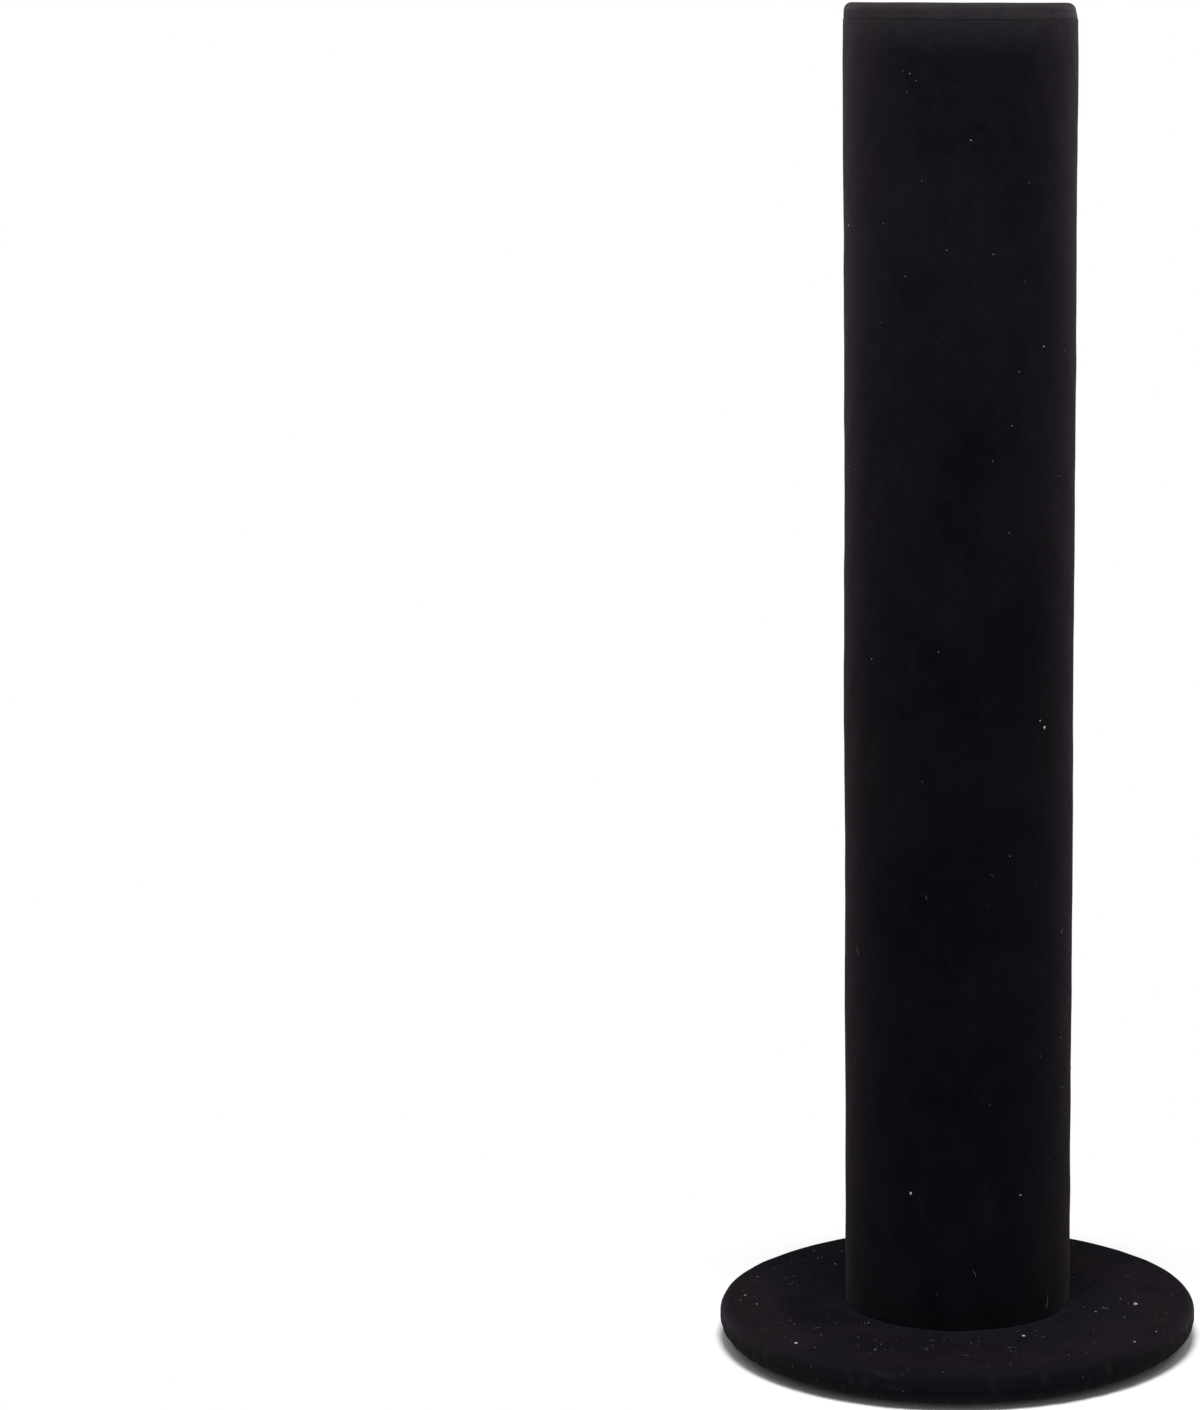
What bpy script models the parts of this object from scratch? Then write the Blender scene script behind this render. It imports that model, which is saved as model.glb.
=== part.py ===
# Round display column for bracelets: a velvet-covered paper tube on a velvet-covered disc.
# Metres, +Z up. The origin is the centre of the ring that the base rests on, and -Y is the front.
# The column's cloth is butted down the back, at +Y. One screw from below holds column and base together.
import math

import bmesh
import bpy
from mathutils import Matrix, Vector

# Cloth, and the gap that every glued or seated face keeps
cloth_thick = 0.0011
glue_gap = 0.0003
cloth_corner = 0.0004
seam_width = 0.0004
notch_inset = 0.004

# Paper tube and the board discs glued into its ends
tube_length = 0.335
tube_width = 0.0572
tube_wall = 0.0025
tube_rim_round = 0.0005
top_plug_thick = 0.012
foot_plug_thick = 0.018
plug_chamfer = 0.001

# Turned-in ends of the column's cloth
wrap_margin = 0.010
wrap_notch_count = 16
wrap_notch_width = 0.0018

# Thin covered disc on top of the column, a little narrower than the wrapped tube
cap_inset = 0.00035
cap_board_thick = 0.001
cap_top_round_share = 0.7
cap_low_round_share = 0.2
cap_margin = 0.009
cap_notch_count = 16
cap_notch_width = 0.0016

# Base disc and its cloth
base_board_width = 0.1242
base_board_thick = 0.0063
base_top_round = 0.0014
base_low_round = 0.0019
base_margin = 0.0145
base_notch_count = 28
base_notch_width = 0.0022

# Non-slip sheet: its outer ring laps the turned-in cloth, and its middle is drawn up to the board
underlay_thick = 0.0012
underlay_lap = 0.0067
underlay_slope = 0.002

# Screw from below, its washer, and the pronged nut that it pulls on
screw_width = 0.006
screw_tip_chamfer = 0.0008
screw_tip_short = 0.0011
screw_clearance = 0.0005
thread_clearance = 0.0003
head_width = 0.0125
head_height = 0.003
head_rim_height = 0.001
head_above_table = 0.0015
recess_length = 0.006
recess_width = 0.0012
recess_depth = 0.0016
washer_width = 0.018
washer_thick = 0.0012
counterbore_clearance = 0.001
nut_flange_width = 0.022
nut_flange_thick = 0.0012
nut_barrel_wall = 0.0013
nut_barrel_length = 0.011
prong_count = 4
prong_width = 0.003
prong_thick = 0.0011
prong_length = 0.007
prong_point_share = 0.3

# How far a cutter runs past what it cuts, and how close points on the axis become one
cut_overrun = 0.001
merge_distance = 0.00001

# Facets
outer_steps = 72
inner_steps = 48
small_steps = 24
edge_steps = 3
smooth_degrees = 35

# Radii that follow from the sizes
cloth_offset = glue_gap + cloth_thick
tube_radius = tube_width / 2
tube_bore_radius = tube_radius - tube_wall
plug_radius = tube_bore_radius - glue_gap
column_radius = tube_radius + cloth_offset
wrap_margin_radius = tube_radius - wrap_margin
cap_board_radius = tube_radius - cap_inset
cap_margin_radius = cap_board_radius - cap_margin
base_board_radius = base_board_width / 2
base_margin_radius = base_board_radius - base_margin
underlay_ring_radius = base_margin_radius - glue_gap
underlay_radius = underlay_ring_radius + underlay_lap
screw_radius = screw_width / 2
screw_hole_radius = screw_radius + screw_clearance
head_radius = head_width / 2
washer_radius = washer_width / 2
counterbore_radius = washer_radius + counterbore_clearance
nut_flange_radius = nut_flange_width / 2
nut_bore_radius = screw_radius + thread_clearance
nut_barrel_radius = nut_bore_radius + nut_barrel_wall
nut_hole_radius = nut_barrel_radius + glue_gap

# Heights that follow from the sizes, from the table up
base_cloth_low = underlay_thick + glue_gap
base_board_low = base_cloth_low + cloth_offset
base_board_top = base_board_low + base_board_thick
base_cloth_top = base_board_top + cloth_offset
wrap_low = base_cloth_top + glue_gap
tube_low = wrap_low + cloth_offset
tube_top = tube_low + tube_length
wrap_top = tube_top + cloth_offset
cap_low = wrap_top + glue_gap
cap_board_low = cap_low + cloth_offset
cap_board_top = cap_board_low + cap_board_thick
cap_top = cap_board_top + cloth_offset
underlay_middle_top = base_board_low - glue_gap
underlay_middle_low = underlay_middle_top - underlay_thick
head_low = head_above_table
head_top = head_low + head_height
washer_low = head_top + glue_gap
washer_top = washer_low + washer_thick
counterbore_top = washer_top + glue_gap
foot_plug_top = tube_low + foot_plug_thick
nut_flange_low = foot_plug_top + glue_gap
nut_flange_top = nut_flange_low + nut_flange_thick
screw_tip = nut_flange_low - screw_tip_short


def clear_scene():
    for old in list(bpy.data.objects):
        bpy.data.objects.remove(old)


def new_collection(name):
    made = bpy.data.collections.new(name)
    bpy.context.scene.collection.children.link(made)
    return made


def new_material(name, color, roughness, metallic=0.0, sheen=0.0):
    material = bpy.data.materials.new(name)
    material.use_nodes = True
    shader = material.node_tree.nodes["Principled BSDF"]
    shader.inputs["Base Color"].default_value = (*color, 1.0)
    shader.inputs["Roughness"].default_value = roughness
    shader.inputs["Metallic"].default_value = metallic
    shader.inputs["Sheen Weight"].default_value = sheen
    return material


def new_object(name, shape, collection):
    mesh = bpy.data.meshes.new(name)
    shape.to_mesh(mesh)
    shape.free()
    made = bpy.data.objects.new(name, mesh)
    collection.objects.link(made)
    return made


def arc(center_r, center_z, radius, first_degrees, last_degrees):
    """Points round a corner, in the half plane of a turned profile."""
    points = []
    for step in range(edge_steps + 1):
        angle = math.radians(first_degrees + (last_degrees - first_degrees) * step / edge_steps)
        points.append((center_r + radius * math.cos(angle), center_z + radius * math.sin(angle)))
    return points


def rim(radius, low, high, low_round, high_round, grow=0.0):
    """The outer side of a disc or tube from top to bottom, moved outwards by grow, with rounded edges."""
    top_edge = arc(radius - high_round, high - high_round, high_round + grow, 90, 0)
    low_edge = arc(radius - low_round, low + low_round, low_round + grow, 0, -90)
    return top_edge + low_edge


def turned(name, profile, steps, material, closed):
    """A turned piece. The profile runs down its outer side, and back up the inner one if it is closed."""
    shape = bmesh.new()
    corners = [shape.verts.new((r, 0, z)) for r, z in profile]
    for first, second in zip(corners, corners[1:]):
        shape.edges.new((first, second))
    if closed:
        shape.edges.new((corners[-1], corners[0]))
    made = new_object(name, shape, stand)
    made.data.materials.append(material)
    screw = made.modifiers.new("turn", "SCREW")
    screw.axis = "Z"
    screw.steps = steps
    screw.render_steps = steps
    screw.use_merge_vertices = True
    screw.merge_threshold = merge_distance
    return made


def apply_and_smooth(piece):
    """Makes the turning and the cuts real, so that round faces shade smooth between sharp edges."""
    bpy.context.view_layer.update()
    graph = bpy.context.evaluated_depsgraph_get()
    mesh = bpy.data.meshes.new_from_object(piece.evaluated_get(graph))
    piece.modifiers.clear()
    piece.data = mesh
    mesh.shade_smooth()
    mesh.set_sharp_from_angle(angle=math.radians(smooth_degrees))


def as_cutter(name, shape):
    made = new_object(name, shape, cutters)
    made.hide_render = True
    made.display_type = "WIRE"
    return made


def cut(target, cutter, operation="DIFFERENCE"):
    boolean = target.modifiers.new(cutter.name, "BOOLEAN")
    boolean.operation = operation
    boolean.solver = "EXACT"
    boolean.object = cutter


def add_box(shape, low, high, turn=0.0):
    """A box between two corners, turned about Z afterwards."""
    center = (Vector(low) + Vector(high)) / 2
    size = Vector(high) - Vector(low)
    place = Matrix.Rotation(turn, 4, "Z") @ Matrix.Translation(center) @ Matrix.Diagonal((*size, 1.0))
    bmesh.ops.create_cube(shape, size=1.0, matrix=place)


def notches(name, count, width, inner_radius, outer_radius, low, high):
    """Wedges cut from a turned-in margin so that it lies flat, starting half a step from the seam."""
    shape = bmesh.new()
    inner = inner_radius - cut_overrun
    point = outer_radius - notch_inset
    half_width = width / 2 * (point - inner) / (point - inner_radius)
    for index in range(count):
        turn = Matrix.Rotation(math.pi / 2 + 2 * math.pi * (index + 0.5) / count, 3, "Z")
        outline = [(point, 0, low), (inner, half_width, low), (inner, -half_width, low)]
        face = shape.faces.new([shape.verts.new(turn @ Vector(corner)) for corner in outline])
        raised = bmesh.ops.extrude_face_region(shape, geom=[face])["geom"]
        top = [item for item in raised if isinstance(item, bmesh.types.BMVert)]
        bmesh.ops.translate(shape, verts=top, vec=(0, 0, high - low))
    bmesh.ops.recalc_face_normals(shape, faces=shape.faces)
    return as_cutter(name, shape)


def disc_cover(radius, low, high, low_round, high_round, margin_radius, hole_radius=0.0):
    """Profile of cloth drawn over a board disc, round its edge and turned in underneath."""
    outer = rim(radius, low, high, low_round, high_round, cloth_offset)
    inner = rim(radius, low, high, low_round, high_round, glue_gap)
    cloth_low = low - cloth_offset
    profile = [(hole_radius, high + cloth_offset)] + outer
    profile += [(margin_radius + cloth_corner, cloth_low), (margin_radius, cloth_low + cloth_corner)]
    profile += [(margin_radius, low - glue_gap)] + inner[::-1]
    profile += [(hole_radius, high + glue_gap)]
    return profile


def make_base_underlay():
    slope_end = underlay_ring_radius - underlay_slope
    profile = [
        (underlay_ring_radius, underlay_thick),
        (underlay_radius, underlay_thick),
        (underlay_radius, 0),
        (underlay_ring_radius, 0),
        (slope_end, underlay_middle_low),
        (counterbore_radius, underlay_middle_low),
        (counterbore_radius, underlay_middle_top),
        (slope_end, underlay_middle_top),
    ]
    turned("base_underlay", profile, inner_steps, foam, closed=True)


def make_base_velvet():
    rounds = (base_low_round, base_top_round)
    profile = disc_cover(
        base_board_radius, base_board_low, base_board_top, *rounds, base_margin_radius, screw_hole_radius
    )
    cover = turned("base_velvet", profile, outer_steps, velvet, closed=True)
    reach = (base_margin_radius, base_board_radius - base_low_round)
    span = (base_cloth_low - cut_overrun, base_board_low - glue_gap / 2)
    cut(cover, notches("base_notches", base_notch_count, base_notch_width, *reach, *span))


def make_base_board():
    profile = [(screw_hole_radius, base_board_top)]
    profile += rim(base_board_radius, base_board_low, base_board_top, base_low_round, base_top_round)
    profile += [(counterbore_radius, base_board_low), (counterbore_radius, counterbore_top)]
    profile += [(screw_hole_radius, counterbore_top)]
    turned("base_board", profile, inner_steps, board, closed=True)


def make_screw_washer():
    profile = [
        (screw_hole_radius, washer_top),
        (washer_radius, washer_top),
        (washer_radius, washer_low),
        (screw_hole_radius, washer_low),
    ]
    turned("screw_washer", profile, small_steps, zinc, closed=True)


def make_clamp_screw():
    """Domed head with a cross recess, plain shank and a chamfered tip inside the nut."""
    dome_height = head_height - head_rim_height
    profile = [
        (0, screw_tip),
        (screw_radius - screw_tip_chamfer, screw_tip),
        (screw_radius, screw_tip - screw_tip_chamfer),
        (screw_radius, head_top),
        (head_radius, head_top),
    ]
    for step in range(edge_steps + 1):
        angle = math.pi / 2 * step / edge_steps
        profile.append((head_radius * math.cos(angle), head_low + dome_height * (1 - math.sin(angle))))
    screw = turned("clamp_screw", profile, small_steps, zinc, closed=False)
    low = (-recess_length / 2, -recess_width / 2, head_low - cut_overrun)
    high = (recess_length / 2, recess_width / 2, head_low + recess_depth)
    for name, turn in (("recess_slot_a", 0.0), ("recess_slot_b", math.pi / 2)):
        slot = bmesh.new()
        add_box(slot, low, high, turn)
        cut(screw, as_cutter(name, slot))


def prongs(name, grow, top):
    """The nut's pointed prongs in a ring, grown on every side for the slots that they are driven into."""
    shape = bmesh.new()
    low = nut_flange_low - prong_length - grow
    size = (prong_thick + 2 * grow, prong_width + 2 * grow, top - low)
    center = (nut_flange_radius - prong_thick / 2, 0, (low + top) / 2)
    for index in range(prong_count):
        corners = bmesh.ops.create_cube(shape, size=1.0)["verts"]
        for corner in corners:
            if corner.co.z < 0:
                corner.co.y *= prong_point_share
        turn = Matrix.Rotation(2 * math.pi * index / prong_count, 4, "Z")
        place = turn @ Matrix.Translation(center) @ Matrix.Diagonal((*size, 1.0))
        bmesh.ops.transform(shape, matrix=place, verts=corners)
    return as_cutter(name, shape)


def make_tee_nut():
    profile = [
        (nut_bore_radius, nut_flange_top),
        (nut_flange_radius, nut_flange_top),
        (nut_flange_radius, nut_flange_low),
        (nut_barrel_radius, nut_flange_low),
        (nut_barrel_radius, nut_flange_low - nut_barrel_length),
        (nut_bore_radius, nut_flange_low - nut_barrel_length),
    ]
    nut = turned("tee_nut", profile, small_steps, zinc, closed=True)
    cut(nut, prongs("nut_prongs", 0.0, nut_flange_low + nut_flange_thick / 2), "UNION")


def make_foot_plug():
    profile = [
        (nut_hole_radius, foot_plug_top),
        (plug_radius - plug_chamfer, foot_plug_top),
        (plug_radius, foot_plug_top - plug_chamfer),
        (plug_radius, tube_low),
        (nut_hole_radius, tube_low),
    ]
    plug = turned("foot_plug", profile, inner_steps, board, closed=True)
    cut(plug, prongs("prong_slots", glue_gap, foot_plug_top + cut_overrun))


def make_column_tube():
    profile = [(tube_bore_radius, tube_top)]
    profile += rim(tube_radius, tube_low, tube_top, tube_rim_round, tube_rim_round)
    profile += [(tube_bore_radius, tube_low)]
    turned("column_tube", profile, inner_steps, paper, closed=True)


def make_top_plug():
    plug_low = tube_top - top_plug_thick
    profile = [
        (0, tube_top),
        (plug_radius, tube_top),
        (plug_radius, plug_low + plug_chamfer),
        (plug_radius - plug_chamfer, plug_low),
        (0, plug_low),
    ]
    turned("top_plug", profile, inner_steps, board, closed=False)


def make_column_velvet():
    """The wrap: over the tube's two rims, turned in at both ends and butted down the back."""
    side = (tube_radius, tube_low, tube_top, tube_rim_round, tube_rim_round)
    profile = [(wrap_margin_radius, wrap_top)] + rim(*side, cloth_offset)
    profile += [(wrap_margin_radius, wrap_low), (wrap_margin_radius, tube_low - glue_gap)]
    profile += rim(*side, glue_gap)[::-1] + [(wrap_margin_radius, tube_top + glue_gap)]
    wrap = turned("column_velvet", profile, outer_steps, velvet, closed=True)
    reach = (wrap_margin_radius, tube_radius - tube_rim_round)
    top_span = (tube_top + glue_gap / 2, wrap_top + cut_overrun)
    foot_span = (wrap_low - cut_overrun, tube_low - glue_gap / 2)
    cut(wrap, notches("wrap_top_notches", wrap_notch_count, wrap_notch_width, *reach, *top_span))
    cut(wrap, notches("wrap_foot_notches", wrap_notch_count, wrap_notch_width, *reach, *foot_span))
    slit = bmesh.new()
    low = (-seam_width / 2, wrap_margin_radius - cut_overrun, wrap_low - cut_overrun)
    high = (seam_width / 2, column_radius + cut_overrun, wrap_top + cut_overrun)
    add_box(slit, low, high)
    cut(wrap, as_cutter("wrap_seam_slit", slit))


def make_cap_board():
    rounds = (cap_board_thick * cap_low_round_share, cap_board_thick * cap_top_round_share)
    profile = [(0, cap_board_top)]
    profile += rim(cap_board_radius, cap_board_low, cap_board_top, *rounds)
    profile += [(0, cap_board_low)]
    turned("cap_board", profile, inner_steps, paper, closed=False)


def make_cap_velvet():
    rounds = (cap_board_thick * cap_low_round_share, cap_board_thick * cap_top_round_share)
    profile = disc_cover(cap_board_radius, cap_board_low, cap_board_top, *rounds, cap_margin_radius)
    cover = turned("cap_velvet", profile, outer_steps, velvet, closed=False)
    reach = (cap_margin_radius, cap_board_radius - rounds[0])
    span = (cap_low - cut_overrun, cap_board_low - glue_gap / 2)
    cut(cover, notches("cap_notches", cap_notch_count, cap_notch_width, *reach, *span))


clear_scene()
stand = new_collection("jewelry_stand")
cutters = new_collection("cutters")

velvet = new_material("black_velvet", (0.012, 0.011, 0.014), 0.9, sheen=0.35)
paper = new_material("grey_paper_board", (0.42, 0.36, 0.28), 0.85)
board = new_material("fibreboard", (0.45, 0.32, 0.19), 0.8)
foam = new_material("black_foam_sheet", (0.02, 0.02, 0.02), 0.75)
zinc = new_material("zinc_plated_steel", (0.6, 0.6, 0.58), 0.3, metallic=1.0)

make_base_underlay()
make_base_velvet()
make_base_board()
make_screw_washer()
make_clamp_screw()
make_tee_nut()
make_foot_plug()
make_column_tube()
make_top_plug()
make_column_velvet()
make_cap_board()
make_cap_velvet()
for piece in stand.objects:
    apply_and_smooth(piece)

print("stand height", round(cap_top, 4), "column width", round(2 * column_radius, 4))
print("screw length", round(screw_tip - head_top, 4))
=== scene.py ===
import random
from math import cos, hypot, pi, radians, sin, sqrt

import bmesh
import bpy
import numpy as np
from mathutils import Matrix, Vector


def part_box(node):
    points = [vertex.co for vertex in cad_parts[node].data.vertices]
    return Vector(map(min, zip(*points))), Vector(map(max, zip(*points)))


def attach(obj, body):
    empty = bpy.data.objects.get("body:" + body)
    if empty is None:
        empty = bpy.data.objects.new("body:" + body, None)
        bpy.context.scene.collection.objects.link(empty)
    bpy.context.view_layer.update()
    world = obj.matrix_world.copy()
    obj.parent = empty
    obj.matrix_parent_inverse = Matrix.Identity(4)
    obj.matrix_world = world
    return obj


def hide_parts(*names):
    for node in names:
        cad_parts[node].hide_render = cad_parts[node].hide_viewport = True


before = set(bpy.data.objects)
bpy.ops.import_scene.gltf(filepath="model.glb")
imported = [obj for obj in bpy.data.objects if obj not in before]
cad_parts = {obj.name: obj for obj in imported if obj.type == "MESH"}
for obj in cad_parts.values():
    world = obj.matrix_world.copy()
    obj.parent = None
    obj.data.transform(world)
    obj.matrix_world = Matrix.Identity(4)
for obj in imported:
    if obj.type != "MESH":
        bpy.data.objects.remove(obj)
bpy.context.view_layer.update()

mm = 0.001
fullTurn = 2 * pi
tiny = 1e-6
# in each function, own holds the values of its piece or material


def unit(value):
    return np.clip(value, 0, 1)


# profiles, in rows of radius, height, normal out, normal up, share of the margin

def sizeOf(node):
    # a round CAD node's outer radius, lowest and highest point
    low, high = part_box(node)
    return high.x, low.z, high.z


def straightRows(first, last, count, inward=(0.0, 0.0)):
    # a straight run, with its normal to the left
    dr, dz = last[0] - first[0], last[1] - first[1]
    length, more = hypot(dr, dz), inward[1] - inward[0]
    return [(first[0] + dr * t, first[1] + dz * t, -dz / length, dr / length, inward[0] + more * t)
            for t in np.linspace(0, 1, count, endpoint=False)]


def runRows(corners, counts):
    # straight runs from corner to corner
    return sum(map(straightRows, corners, corners[1:], counts), [])


def cornerRows(center, radius, firstDegrees, lastDegrees, count):
    rows = []
    for angle in np.radians(np.linspace(firstDegrees, lastDegrees, count, endpoint=False)):
        out, up = cos(angle), sin(angle)
        rows.append((center[0] + radius * out, center[1] + radius * up, out, up, 0.0))
    return rows


def sideRows(node, own, lowRound):
    # a cloth from its upper edge, down the side and in along the lower margin
    radius, low, high = sizeOf(node)
    topRound, margin = own["topRound"], own["margin"]
    upper, side, lower, tucked = own["edgeRows"]
    rows = cornerRows((radius - topRound, high - topRound), topRound, 90, 0, upper)
    rows += straightRows((radius, high - topRound), (radius, low + lowRound), side)
    rows += cornerRows((radius - lowRound, low + lowRound), lowRound, 0, -90, lower)
    rows += straightRows((radius - lowRound, low), (margin, low), tucked, (0.0, 1.0))
    return rows + [(margin, low, 0.0, -1.0, 1.0)]


def columnsOf(rows):
    # a profile's values, each as a column that numpy spreads round the turn
    return np.array(rows).T[..., None]


def runLength(reach, height):
    # distance along a profile from its first row
    steps = np.hypot(np.diff(reach, axis=0), np.diff(height, axis=0))
    return np.concatenate([[[0.0]], np.cumsum(steps, axis=0)])


def notchColumns(own, first=0.0, last=fullTurn):
    # angles of a cloth's columns, three of them at each notch
    count, width, _ = own["notches"]
    half, steps = width / 2 / own["margin"], own["columns"]
    middles = fullTurn * (np.arange(count) + 0.5) / count
    sharp = np.concatenate([middles - half, middles, middles + half])
    apart = 0.3 * fullTurn / steps
    keep = [angle for angle in np.linspace(first, last, steps + 1) if np.abs(sharp - angle).min() > apart]
    return np.sort(np.concatenate([keep, sharp]))


def notchedRadii(own, shape, angles):
    # radii of a cloth that is notched at its cut edge
    margin, (count, width, tip) = own["margin"], own["notches"]
    step, half = fullTurn / count, width / 2 / margin
    offset = np.abs((angles / step) % 1.0 - 0.5) * step
    return shape[0] + shape[4] * (tip - margin) * unit(1 - offset / half)


# unevenness of cloth

def waves(around, along, height, seed, count, orders, lengths):
    # smooth random waves that close on themselves round the turn
    draw = random.Random(seed)
    total = np.zeros(np.broadcast(around, along).shape)
    for _ in range(count):
        order = draw.randint(*orders)
        pitch = draw.uniform(*lengths) * draw.choice((-1, 1))
        total += np.cos(order * around + fullTurn * along / pitch + draw.uniform(0, fullTurn))
    return height * sqrt(2 / count) * total


def folds(around, along, mean, *waveSet):
    # small folds beside a drawn edge, never below nothing
    return (mean + waves(around, along, *waveSet)).clip(0)


def fadeOut(distance, amount, reach):
    # the whole amount at no distance, about a third of it at the reach
    return amount * np.exp(-((distance / reach) ** 2))


def turnFrom(around, degrees):
    # angle from a direction, given in degrees from the front to the right
    return (around - radians(degrees)) % fullTurn - pi


def fullCorner(shape, radius, fullness=80.0):
    # pile that fans out over a fold: 2 leaves it round, and more makes it squarer
    across, up = unit(shape[2]), np.abs(shape[3])
    reach = (across**fullness + up**fullness) ** (-1 / fullness) - 1
    return np.where((across > tiny) & (up > tiny), radius * reach, 0.0)


pressedCloth = {
    "seed": 5,
    "waves": 12,
    "lengths": (10 * mm, 30 * mm),
    "height": 0.05 * mm,
    "edgeReach": 1.5 * mm,  # how far it goes up from a folded edge
}


def pressed(points, own=pressedCloth):
    # unevenness that two cloths share where they touch
    draw = random.Random(own["seed"])
    total = np.zeros(points.shape[:-1])
    for _ in range(own["waves"]):
        angle, pitch = draw.uniform(0, pi), draw.uniform(*own["lengths"])
        place = points[..., 0] * cos(angle) + points[..., 1] * sin(angle)
        total += np.cos(fullTurn * place / pitch + draw.uniform(0, fullTurn))
    return own["height"] * sqrt(2 / own["waves"]) * total


def pressEdge(points, edge, down=0.0):
    # fits a folded edge to the cloth that it's pressed on
    share = unit(1 - np.abs(points[..., 2] - edge) / pressedCloth["edgeReach"])
    points[..., 2] += share * (pressed(points) - down)


# points and meshes

def evenAngles(count):
    return np.linspace(0, fullTurn, count, endpoint=False)


def turned(radii, heights, angles):
    # points in rows of radii and heights and in columns of angles
    return np.stack(np.broadcast_arrays(radii * np.cos(angles), radii * np.sin(angles), heights), axis=-1)


def placeRows(shape, radii, angles, lift):
    # points of a cloth, lifted along its profile's normal, from the back round
    height, out, up = shape[1:4]
    return turned(radii + lift * out, height + lift * up, pi / 2 + angles)


def spun(points, turn):
    # points turned about the axis, each by its own angle
    x, y = points[..., 0], points[..., 1]
    across, deep = x * np.cos(turn) - y * np.sin(turn), x * np.sin(turn) + y * np.cos(turn)
    return np.stack([across, deep, points[..., 2]], axis=-1)


def addObject(name, data):
    made = bpy.data.objects.new(name, data)
    bpy.context.scene.collection.objects.link(made)
    return made


def meshObject(name, mesh, material):
    mesh.name = name
    mesh.materials.append(material)
    return addObject(name, mesh)


def gridMesh(points, loop=False, seam=False):
    # quads from rows of points, closed round the turn; a loop also joins the last row to the first, and a
    # seam keeps the first and last columns apart and closes a cloth's cut edges there
    rows, columns = points.shape[:2]
    here = np.arange(rows * columns).reshape(rows, columns)
    below, beside = np.roll(here, -1, axis=0), np.roll(here, -1, axis=1)
    quads = np.stack([here, below, np.roll(below, -1, axis=1), beside], axis=-1)
    quads = [quads[: rows if loop else rows - 1, : columns - seam].reshape(-1, 4)]
    if seam:
        pile, back = here[: rows // 2], here[rows // 2 :][::-1]
        for column, near, far in ((0, pile, back), (-1, back, pile)):
            corners = (near[:-1, column], far[:-1, column], far[1:, column], near[1:, column])
            quads.append(np.stack(corners, axis=-1))
    mesh = bpy.data.meshes.new("grid")
    mesh.from_pydata(points.reshape(-1, 3).tolist(), [], np.concatenate(quads).tolist())
    return mesh


def weldPole(mesh):
    # makes the points on the axis one
    shape = bmesh.new()
    shape.from_mesh(mesh)
    pole = [corner for corner in shape.verts if corner.co.xy.length < tiny]
    bmesh.ops.remove_doubles(shape, verts=pole, dist=tiny)
    shape.to_mesh(mesh)
    shape.free()


def applied(piece, sharpDegrees=40):
    # applies the modifiers, and shades smooth between sharp edges
    bpy.context.view_layer.update()
    graph = bpy.context.evaluated_depsgraph_get()
    mesh = bpy.data.meshes.new_from_object(piece.evaluated_get(graph))
    piece.modifiers.clear()
    piece.data = mesh
    mesh.shade_smooth()
    mesh.set_sharp_from_angle(angle=radians(sharpDegrees))
    return piece


def clothPiece(name, material, pile, back, paints, seam=False):
    # a cloth with a pile side, which is painted, and a back side
    mesh = gridMesh(np.concatenate([pile, back[::-1]]), True, seam)
    for label, paint in paints.items():
        both = np.concatenate([paint.ravel(), 0 * paint.ravel()]).astype(np.float32)
        mesh.attributes.new(label, "FLOAT", "POINT").data.foreach_set("value", both)
    if np.abs(pile[0, :, :2]).max() < tiny:
        weldPole(mesh)
    return applied(meshObject(name, mesh, material))


def meshOf(shape):
    # a new mesh from an edited shape
    mesh = bpy.data.meshes.new("shape")
    bmesh.ops.recalc_face_normals(shape, faces=shape.faces)
    shape.to_mesh(mesh)
    shape.free()
    return mesh


# small helpers for shader nodes

def fill(node, inputs):
    # links inputs that are given as sockets, and sets the others
    for name, value in inputs.items():
        if isinstance(value, bpy.types.NodeSocket):
            node.id_data.links.new(value, node.inputs[name])
        else:
            node.inputs[name].default_value = value


def put(tree, kind, inputs={}, **settings):
    node = tree.nodes.new("ShaderNode" + kind)
    for name, value in settings.items():
        setattr(node, name, value)
    fill(node, inputs)
    return node


def newGroup(name, inputs, outputs):
    tree = bpy.data.node_groups.new(name, "ShaderNodeTree")
    for way, labels in (("INPUT", inputs), ("OUTPUT", outputs)):
        for label in labels:
            tree.interface.new_socket(label, in_out=way, socket_type="NodeSocketFloat")
    return tree, tree.nodes.new("NodeGroupInput").outputs, tree.nodes.new("NodeGroupOutput")


def useGroup(tree, group, inputs):
    return put(tree, "Group", inputs, node_tree=group).outputs


def placeOn(tree):
    return put(tree, "TexCoord").outputs["Object"]


def painted(tree, label):
    # a value painted on the mesh's points
    return put(tree, "Attribute", attribute_name=label).outputs["Fac"]


# these work in the tree that their first socket belongs to

def calc(operation, first, second=0.0, clamp=False):
    return put(first.id_data, "Math", {0: first, 1: second}, operation=operation, use_clamp=clamp).outputs[0]


def times(first, second, clamp=False):
    return calc("MULTIPLY", first, second, clamp)


def mixColors(share, first, second):
    first, second = ((*color, 1.0) if isinstance(color, tuple) else color for color in (first, second))
    return put(share.id_data, "Mix", {0: share, 6: first, 7: second}, data_type="RGBA").outputs[2]


def span(value, low, high, first=0.0, last=1.0):
    # goes softly from first to last between low and high
    ends = {"Value": value, "From Min": low, "From Max": high, "To Min": first, "To Max": last}
    return put(value.id_data, "MapRange", ends, interpolation_type="SMOOTHSTEP").outputs[0]


def axesOf(place):
    return put(place.id_data, "SeparateXYZ", {0: place}).outputs


def moveBy(place, amount, operation="ADD"):
    return put(place.id_data, "VectorMath", {0: place, 1: amount}, operation=operation).outputs[0]


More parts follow.
